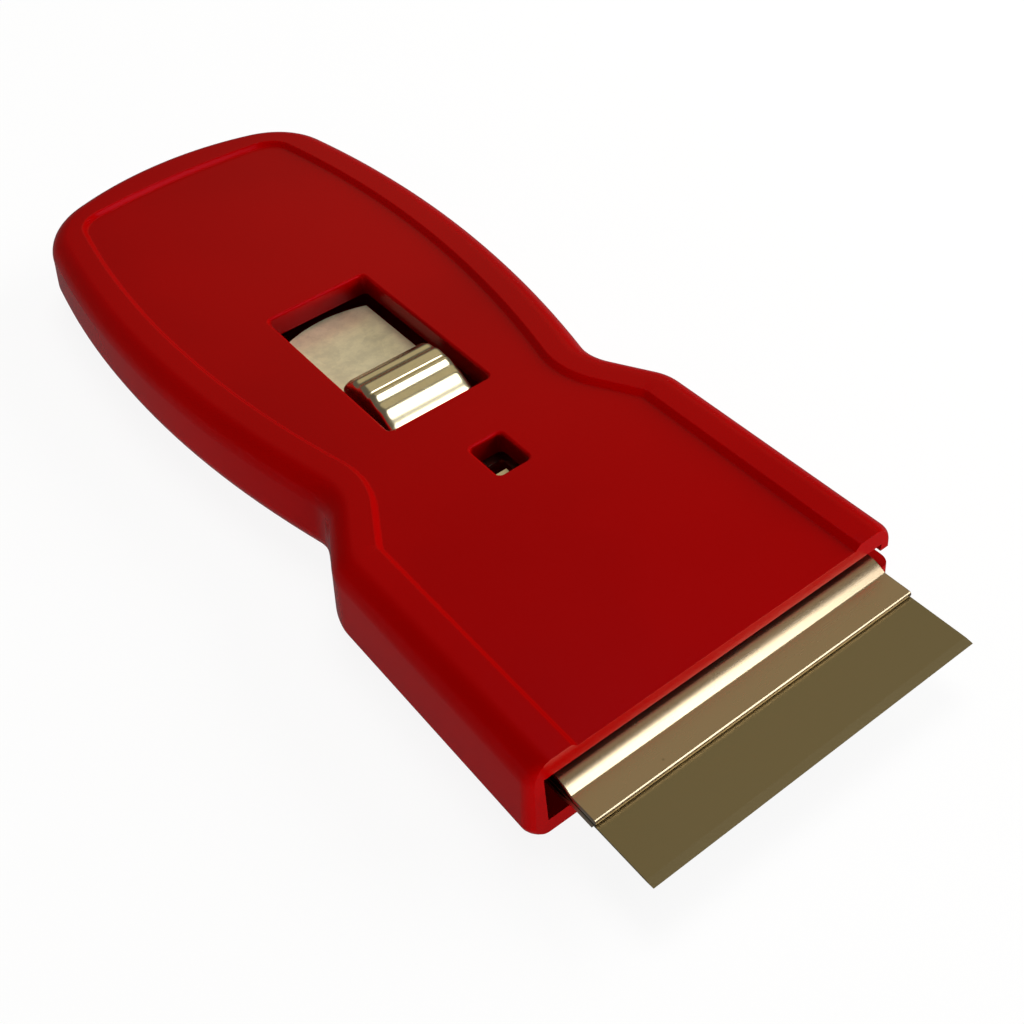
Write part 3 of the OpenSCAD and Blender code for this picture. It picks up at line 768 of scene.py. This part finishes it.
class SCRAPER_OT_thumb_spring(bpy.types.Operator):
    """Draws the ribbed hump out of the spring's strip, bends up its lock tongue and drills its rivet holes"""

    bl_idname = "scraper.thumb_spring"
    bl_label = "Thumb spring"

    HUMP_STEPS, END_STEPS, TAIL_STEPS = 140, 12, 10
    FLANK_POWER = {"front": 1.4, "rear": 2.5}
    RIB_FADE = {"front": 2, "rear": 6}

    def execute(self, context):
        s = context.scene.scraper_spring
        columns = self.columns(s)
        rows = self.rows(s)
        piece = start_piece(
            "thumb_strip",
            bpy.ops.mesh.primitive_grid_add,
            x_subdivisions=len(columns) - 1,
            y_subdivisions=len(rows) - 1,
            size=1,
        )
        bm = bmesh.from_edit_mesh(piece.data)
        for v in bm.verts:
            column = columns[round((v.co.x + 0.5) * (len(columns) - 1))]
            row = rows[round((v.co.y + 0.5) * (len(rows) - 1))]
            v.co = self.point(s, column, row)
        bmesh.update_edit_mesh(piece.data)
        leave(piece)
        self.bend_tongue(piece, s)
        apply_modifier(piece, "SOLIDIFY", thickness=s.sheet, offset=-1, use_even_offset=True)
        for side in (-1, 1):
            centre = (side * s.rivet_pitch / 2, MOUTH + s.rivet_line, s.top)
            carve(piece, rod("rivet_hole", centre, s.rivet_hole / 2, 4 * s.sheet))
        finish_piece(
            piece, "thumb", "thumb_spring",
            spring_steel(context.scene.scraper_finishes, MOUTH + s.hump_front + s.hump_length),
            smooth_angle=math.radians(50),
        )
        return {"FINISHED"}

    def columns(self, s):
        """Places across the strip, each with its share of the hump's full height and of the full ribs."""
        foot = s.hump_width / 2
        flat = foot - s.hump_end_draft - s.hump_end_radius
        drop = s.hump_end_radius / (s.crest - s.top)
        tongue = s.tongue_width / 2
        lance = s.lance_width / 2
        right = [(x, 1.0, 1.0) for x in (0, tongue / 2, tongue, lance, (lance + flat) / 2)]
        for i in range(self.END_STEPS + 1):
            turn = math.pi / 2 * i / self.END_STEPS
            lowered = 1 - drop * (1 - math.cos(turn))
            right.append((flat + s.hump_end_radius * math.sin(turn), lowered, math.cos(turn)))
        right += [(foot, 0.0, 0.0), (s.width / 2, 0.0, 0.0)]
        left = [(-x, end, ribs) for x, end, ribs in reversed(right[1:])]
        return left + right

    def rows(self, s):
        """Places along the strip: a flat place, a turn over the hump or a share of the tail."""
        root = SPRING_LOW.y - MOUTH
        flats = [root, s.lance_front, self.tip(s), s.lance_end, (s.lance_end + s.hump_front) / 2]
        rows = [("flat", y) for y in flats]
        rows += [("hump", math.pi * i / self.HUMP_STEPS) for i in range(self.HUMP_STEPS + 1)]
        rows += [("tail", (i + 1) / self.TAIL_STEPS) for i in range(self.TAIL_STEPS)]
        return rows

    def point(self, s, column, row):
        """A point of the strip's upper face."""
        x = column[0]
        kind, value = row
        if kind == "flat":
            return Vector((x, MOUTH + value, s.top))
        if kind == "hump":
            return self.hump_point(s, column, value)
        start = self.hump_point(s, column, math.pi)
        tail = SPRING_HIGH.y - s.tail_radius + math.sqrt(s.tail_radius**2 - x**2)
        return Vector((x, start.y + (tail - start.y) * value, s.top))

    def hump_point(self, s, column, turn):
        """A point of the hump, from its front foot at turn 0 over the crest to its rear foot."""
        x, end, ribs = column
        flank = "front" if turn < math.pi / 2 else "rear"
        power = self.FLANK_POWER[flank]
        run = s.hump_length * (s.crest_share if flank == "front" else 1 - s.crest_share)
        full = s.crest - s.top
        rise = abs(math.sin(turn))
        wave = math.cos(2 * s.rib_count * (turn - math.pi / 2 - s.rib_turn))
        rib = s.rib_height / 2 * wave * rise ** self.RIB_FADE[flank] * ribs
        height = (full - s.rib_height / 2 + rib) * end * rise ** (2 / power)
        plan = 1 - s.plan_share * (1 - end) ** 2
        along = math.copysign(abs(math.cos(turn)) ** (2 / power), turn - math.pi / 2) * run * plan
        middle = MOUTH + s.hump_front + s.hump_length * s.crest_share
        return Vector((x, middle + along, s.top + height))

    def tip(self, s):
        """Place of the lock tongue's tip."""
        return s.lance_front + (s.lance_end - s.lance_front) * s.tongue_share

    def bend_tongue(self, piece, s):
        """Opens the strip round the lock tongue and bends the tongue's tip up."""
        tip = self.tip(s)

        def round_tongue(f):
            middle = f.calc_center_median()
            along = middle.y - MOUTH
            in_lance = abs(middle.x) < s.lance_width / 2 and s.lance_front < along < s.lance_end
            return in_lance and not (abs(middle.x) < s.tongue_width / 2 and along < tip)

        def at_tip(e):
            return all(
                abs(v.co.y - MOUTH - tip) < NEAR and abs(v.co.x) < s.tongue_width / 2 + NEAR for v in e.verts
            )

        pick(piece, "FACE", round_tongue)
        bpy.ops.mesh.delete(type="FACE")
        leave(piece)
        pick(piece, "EDGE", at_tip)
        bpy.ops.transform.translate(value=(0, 0, s.tongue_height))
        leave(piece)


# The plates, the blade and the rivets


class SCRAPER_OT_clamp_plate(bpy.types.Operator):
    """Bends the clamp plate out of one strip, cuts the spring's gap and the rivet holes, breaks its edges"""

    bl_idname = "scraper.clamp_plate"
    bl_label = "Clamp plate"

    BEND_STEPS = 8
    SHARP = math.radians(60)

    def execute(self, context):
        s = context.scene.scraper_plate
        finishes = context.scene.scraper_finishes
        piece = self.bend(s)
        apply_modifier(piece, "SOLIDIFY", thickness=s.sheet, offset=1, use_even_offset=True)
        self.cut(piece, s)
        self.round_lip(piece, s)
        pick(piece, "EDGE", lambda e: e.calc_face_angle() > self.SHARP)
        bpy.ops.mesh.bevel(offset=s.edge, segments=2, profile=0.5, affect="EDGES")
        leave(piece)
        material = worn_steel(
            "plate_steel", finishes.plate, finishes, roughness=0.27, grain=(0.05, 1, 1), specks=0.58
        )
        finish_piece(piece, "carriage", "clamp_plate", material)
        return {"FINISHED"}

    def bend(self, s):
        """Extrudes the front edge rearwards over straights and spins it round each bend."""
        raised = CLAMP_HIGH.z - s.sheet
        front = CLAMP_LOW.y
        jaw_end = front + s.jaw_length
        raised_end = MOUTH + s.raised_end
        corners = [
            Vector((front, s.jaw_bottom)),
            Vector((jaw_end, s.jaw_bottom)),
            Vector((jaw_end + s.ramp_run, raised)),
            Vector((raised_end, raised)),
            Vector((raised_end + s.ramp_run, s.land_bottom)),
            Vector((CLAMP_HIGH.y, s.land_bottom)),
        ]
        piece = start_piece("clamp_sheet", bpy.ops.mesh.primitive_plane_add, size=1)
        bm = bmesh.from_edit_mesh(piece.data)
        for v in bm.verts:
            v.co = Vector((math.copysign(CLAMP_HIGH.x, v.co.x), front, s.jaw_bottom))
        bmesh.update_edit_mesh(piece.data)
        bpy.ops.mesh.remove_doubles(threshold=NEAR)
        bpy.ops.mesh.select_all(action="SELECT")
        at = corners[0]
        radii = (s.bend_radius, s.crown_radius, s.bend_radius, s.bend_radius)
        for before, corner, after, radius in zip(corners, corners[1:], corners[2:], radii):
            way = (corner - before).normalized()
            onward = (after - corner).normalized()
            turn = math.atan2(way.x * onward.y - way.y * onward.x, way.dot(onward))
            reach = radius * math.tan(abs(turn) / 2)
            at = self.extrude_to(at, corner - reach * way)
            side = math.copysign(1, turn)
            centre = at + side * radius * Vector((-way.y, way.x))
            bpy.ops.mesh.spin(
                steps=self.BEND_STEPS, angle=-turn, center=(0, centre.x, centre.y), axis=(1, 0, 0)
            )
            at = corner + reach * onward
        self.extrude_to(at, corners[-1])
        bpy.ops.mesh.select_all(action="SELECT")
        bpy.ops.mesh.remove_doubles(threshold=NEAR)
        bpy.ops.mesh.normals_make_consistent(inside=False)
        if any(f.normal.z < 0 for f in bmesh.from_edit_mesh(piece.data).faces):
            bpy.ops.mesh.flip_normals()
        return leave(piece)

    def round_lip(self, piece, s):
        """Rounds the jaw's front edges: the upper one shines and the lower one leaves a shadow line."""
        for height, radius in ((s.jaw_bottom, s.lip_radius), (s.jaw_bottom + s.sheet, s.brow_radius)):

            def on_edge(e):
                return all(
                    v.co.y < CLAMP_LOW.y + NEAR and abs(v.co.z - height) < NEAR for v in e.verts
                )

            if pick(piece, "EDGE", on_edge) != 1:
                raise RuntimeError("a front edge of the jaw was not found")
            bpy.ops.mesh.bevel(offset=radius, segments=5, profile=0.5, affect="EDGES")
            leave(piece)

    def extrude_to(self, start, end):
        """Draws the last edge of the sheet out to a point of its profile."""
        step = end - start
        bpy.ops.mesh.extrude_edges_move(TRANSFORM_OT_translate={"value": (0, step.x, step.y)})
        return end

    def cut(self, piece, s):
        """Cuts the gap for the spring and the holes for the rivets."""
        half = s.gap_width / 2
        low = (-half, MOUTH + s.raised_end, 0)
        high = (half, CLAMP_HIGH.y + s.ramp_run, 2 * CLAMP_HIGH.z)
        carve(piece, block("spring_gap", low, high))
        for side in (-1, 1):
            centre = (side * s.rivet_pitch / 2, MOUTH + s.rivet_line, s.land_bottom)
            carve(piece, rod("rivet_hole", centre, s.rivet_hole / 2, 4 * s.sheet))


class SCRAPER_OT_blade(bpy.types.Operator):
    """Gives the blade, its folded back and the bed under it their steel"""

    bl_idname = "scraper.blade"
    bl_label = "Blade and bed"

    def execute(self, context):
        finishes = context.scene.scraper_finishes
        blade = worn_steel(
            "blade_steel", finishes.blade, finishes, roughness=0.36, grain=(0.04, 1, 1), specks=0.72
        )
        dress_node("blade", blade)
        bed = worn_steel(
            "bed_steel", finishes.plate, finishes, roughness=0.30, grain=(0.05, 1, 1), specks=0.6
        )
        dress_node("carrier_bed", bed)
        dress_node("blade_back", bed)
        return {"FINISHED"}


class SCRAPER_OT_rivets(bpy.types.Operator):
    """Gives the rivets their plain steel"""

    bl_idname = "scraper.rivets"
    bl_label = "Rivets"

    def execute(self, context):
        finishes = context.scene.scraper_finishes
        steel = worn_steel(
            "rivet_steel", finishes.rivet, finishes, roughness=0.34, grain=(1, 1, 1), specks=0.66
        )
        for node in ("clamp_rivets", "spring_rivets"):
            dress_node(node, steel)
        return {"FINISHED"}


# The stage


class SCRAPER_OT_stage(bpy.types.Operator):
    """Sets up the white floor, the room, the soft lamps and the camera"""

    bl_idname = "scraper.stage"
    bl_label = "Stage"

    # Place and size of each lamp in metres
    LAMPS = {
        "key": ((0.675, -0.1875, 0.30), (0.60, 0.42)),
        "front": ((0.32, -0.48, 0.528), (0.30, 0.55)),
        "low": ((-0.224, -0.76, 0.04), (0.80, 0.08)),
        "left": ((-0.72, 0.28, 0.04), (0.50, 0.20)),
        "top": ((0.216, 0.144, 0.736), (0.40, 0.40)),
    }
    MIRRORED_LAMP = "front"
    LIT_WAY = (0.45, 0.40, 0.80)
    LIT_FROM, LIT_TO = 0.80, 0.95
    FLOOR_WHITE_SHARE = 0.9
    MIRRORED_FLOOR = 0.14

    def execute(self, context):
        settings = context.scene.scraper_stage
        context.scene.view_settings.view_transform = "Standard"
        self.floor(settings)
        self.room(context.scene, settings)
        for name, (place, size) in self.LAMPS.items():
            lamp = self.lamp(name, Vector(place), size, getattr(settings, name + "_power"))
            lamp.visible_glossy = name == self.MIRRORED_LAMP
            lamp.visible_diffuse = name != self.MIRRORED_LAMP
        self.camera(context.scene, settings)
        return {"FINISHED"}

    def floor(self, settings):
        """A floor that is white to the camera but for the shadow, and grey in mirrors."""
        floor = start_piece("floor", bpy.ops.mesh.primitive_plane_add, size=settings.floor_size)
        leave(floor)
        f = new_finish("floor")
        f.surface(Base_Color=(0.9, 0.9, 0.9, 1), Roughness=0.9)
        seen = f.node("ShaderNodeLightPath", output="Is Camera Ray")
        mirrored_ray = f.node("ShaderNodeLightPath", output="Is Glossy Ray")
        white = f.node("ShaderNodeEmission", None, {"Color": (1, 1, 1, 1), "Strength": 1.0})
        grey = f.node("ShaderNodeEmission", None, {"Color": (1, 0.98, 1, 1), "Strength": self.MIRRORED_FLOOR})
        plain = Wire(f, f.tree.nodes["Principled BSDF"].outputs[0])
        shown = f.node("ShaderNodeMixShader", None, {0: seen * self.FLOOR_WHITE_SHARE, 1: plain, 2: white})
        shown = f.node("ShaderNodeMixShader", None, {0: mirrored_ray, 1: shown, 2: grey})
        f.feed(f.tree.nodes["Material Output"].inputs["Surface"], shown)
        floor.data.materials.append(f.owner)

    def room(self, scene, settings):
        """A room that is white to the camera and warm in one part, which the metal shows."""
        world = bpy.data.worlds.new("room")
        scene.world = world
        f = Finish(world)
        way = f.node("ShaderNodeTexCoord", output="Generated")
        sockets = {0: way, 1: self.LIT_WAY}
        lit = f.node("ShaderNodeVectorMath", {"operation": "DOT_PRODUCT"}, sockets, "Value")
        part = lit.between(self.LIT_FROM, self.LIT_TO)
        tone = f.mix(part, rgba(settings.dark_room), rgba(settings.room))
        seen = f.node("ShaderNodeLightPath", output="Is Camera Ray")
        background = f.tree.nodes["Background"]
        f.feed(background.inputs["Color"], f.mix(seen, tone, (1, 1, 1, 1)))
        background.inputs["Strength"].default_value = 1.0

    def lamp(self, name, place, size, power):
        """A rectangular lamp that looks at the part's middle."""
        light = bpy.data.lights.new(name, "AREA")
        light.shape = "RECTANGLE"
        light.size, light.size_y = size
        light.energy = power
        lamp = bpy.data.objects.new(name, light)
        bpy.context.scene.collection.objects.link(lamp)
        lamp.location = place
        lamp.rotation_euler = (-place).to_track_quat("-Z", "Y").to_euler()
        return lamp

    def camera(self, scene, settings):
        """The camera at the photograph's angle."""
        data = bpy.data.cameras.new("camera")
        camera = bpy.data.objects.new("camera", data)
        scene.collection.objects.link(camera)
        data.sensor_width = 36
        data.lens = settings.lens
        data.clip_start = 0.005
        a, e, r = settings.azimuth, settings.elevation, settings.roll
        back = Vector((math.sin(a) * math.cos(e), -math.cos(a) * math.cos(e), math.sin(e)))
        right = Vector((math.cos(a), math.sin(a), 0))
        up = back.cross(right)
        turned_right = math.cos(r) * right + math.sin(r) * up
        turned_up = math.cos(r) * up - math.sin(r) * right
        turn = Matrix((turned_right, turned_up, back)).transposed()
        camera.matrix_world = Matrix.Translation(settings.camera_place) @ turn.to_4x4()
        scene.camera = camera


class SCRAPER_PT_panel(bpy.types.Panel):
    """Lists the steps that build the scraper"""

    bl_label = "Razor blade scraper"
    bl_idname = "SCRAPER_PT_panel"
    bl_space_type = "VIEW_3D"
    bl_region_type = "UI"
    bl_category = "Scraper"

    def draw(self, context):
        for operator in OPERATORS:
            self.layout.operator(operator.bl_idname)


GROUPS = {
    "scraper_handle": HandleSizes,
    "scraper_spring": SpringSizes,
    "scraper_plate": PlateSizes,
    "scraper_finishes": Finishes,
    "scraper_stage": StageSettings,
}
OPERATORS = (
    SCRAPER_OT_stage,
    SCRAPER_OT_handle,
    SCRAPER_OT_thumb_spring,
    SCRAPER_OT_clamp_plate,
    SCRAPER_OT_blade,
    SCRAPER_OT_rivets,
)
CLASSES = (*GROUPS.values(), *OPERATORS, SCRAPER_PT_panel)


def register():
    for cls in CLASSES:
        bpy.utils.register_class(cls)
    for name, group in GROUPS.items():
        setattr(bpy.types.Scene, name, bpy.props.PointerProperty(type=group))


def unregister():
    for name in GROUPS:
        delattr(bpy.types.Scene, name)
    for cls in reversed(CLASSES):
        bpy.utils.unregister_class(cls)


def main():
    register()
    bpy.ops.scraper.stage()
    bpy.ops.scraper.handle()
    bpy.ops.scraper.thumb_spring()
    bpy.ops.scraper.clamp_plate()
    bpy.ops.scraper.blade()
    bpy.ops.scraper.rivets()


if __name__ == "__main__":
    main()
